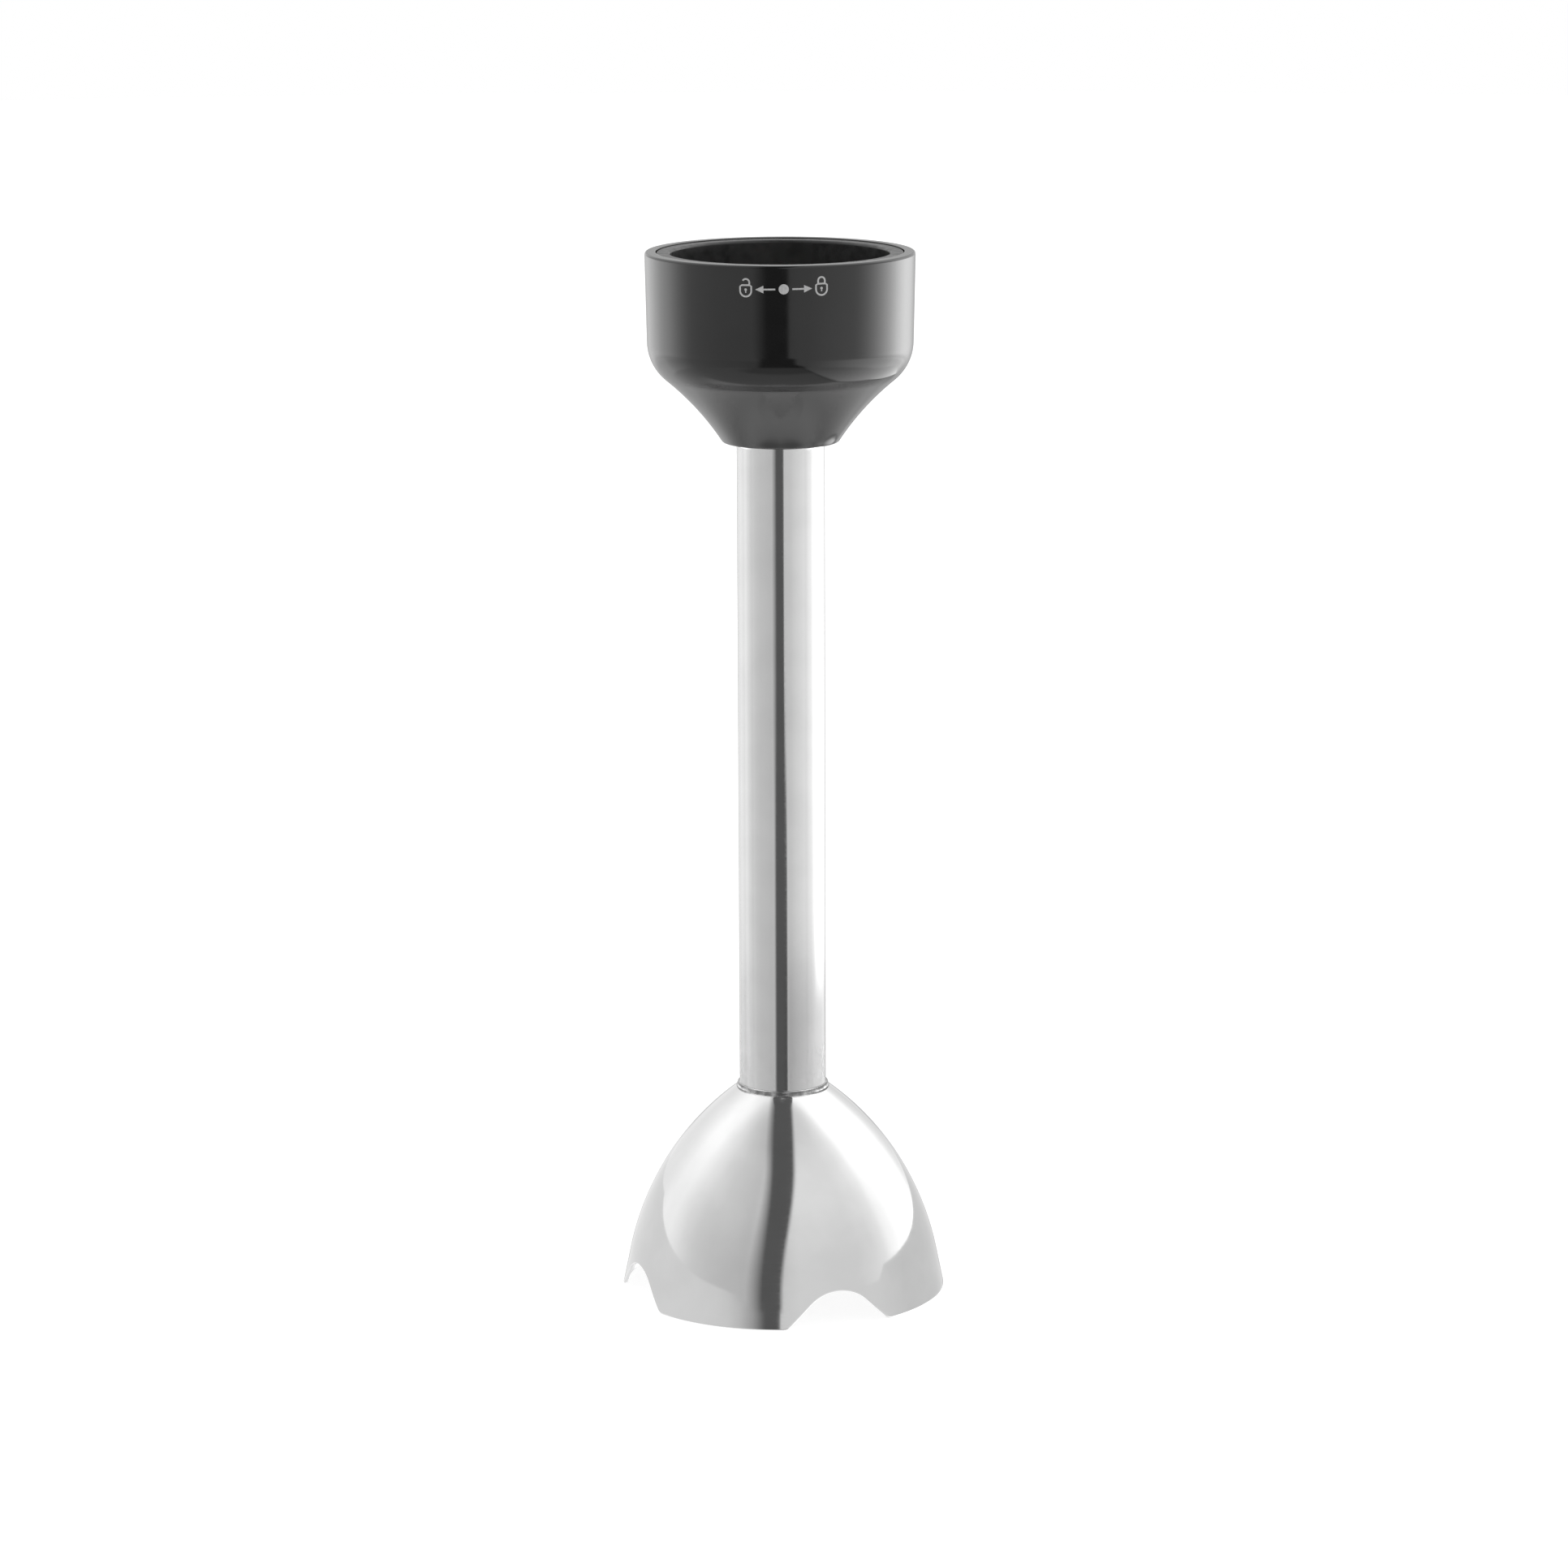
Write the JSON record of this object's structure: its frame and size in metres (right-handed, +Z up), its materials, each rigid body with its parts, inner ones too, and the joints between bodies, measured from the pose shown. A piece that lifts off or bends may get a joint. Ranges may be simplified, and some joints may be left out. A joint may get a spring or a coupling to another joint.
{
  "type": "immersion blender shaft",
  "caption": "Detachable blending shaft of a hand blender: black twist-lock collar, polished steel tube and notched bell guard round a spinning blade.",
  "frame": {"origin": "centre of the circle that the bell's feet stand on", "axes": "+Z up the shaft to the socket; -Y is the front, with the lock marks"},
  "size_m": [0.066, 0.066, 0.213],
  "materials": {
    "polished_steel": "mirror polished stainless steel",
    "black_gloss": "black gloss moulded plastic",
    "black_socket": "black moulded plastic, slightly less glossy",
    "plain_steel": "turned or rolled steel",
    "screw_steel": "zinc-plated steel",
    "bronze": "oil-filled sintered bronze",
    "white_plastic": "white acetal",
    "grey_plastic": "dark grey nylon",
    "rubber_black": "nitrile rubber",
    "felt": "oiled felt",
    "blade_steel": "ground stainless steel"
  },
  "bodies": {
    "housing": {"bell_guard": "polished_steel", "shaft_tube": "polished_steel", "tube_flange": "plain_steel", "collar_cover": "black_gloss", "collar_liner": "black_socket", "collar_screws": "screw_steel", "collar_o_ring": "rubber_black", "upper_bearing_holder": "grey_plastic", "upper_bush": "bronze", "upper_felt": "felt", "felt_retainer": "plain_steel", "spring_seat_washer": "plain_steel", "float_spring": "plain_steel", "mid_guide": "white_plastic", "mid_guide_o_rings": "rubber_black", "lower_bearing_housing": "grey_plastic", "housing_o_ring": "rubber_black", "lower_bush": "bronze", "lip_seal": "rubber_black", "garter_spring": "plain_steel", "seal_retainer": "plain_steel"},
    "float_carriage": {"upper_thrust_washer": "plain_steel"},
    "rotor": {"drive_shaft": "plain_steel", "drive_coupling": "white_plastic", "coupling_pin": "plain_steel", "lower_thrust_washer": "white_plastic", "blade_hub": "plain_steel", "blade": "blade_steel", "blade_nut": "blade_steel"}
  },
  "joints": [
    {"name": "rotor_float", "type": "slide", "parent": "housing", "child": "float_carriage", "axis": [0, 0, 1], "range_m": [-0.002, 0], "stiffness_N_per_m": 2000, "springref_m": 0.005, "deforming": ["float_spring"]},
    {"name": "rotor_spin", "type": "hinge", "parent": "float_carriage", "child": "rotor", "pos_m": [0, 0, 0.1], "axis": [0, 0, 1], "continuous": true}
  ]
}
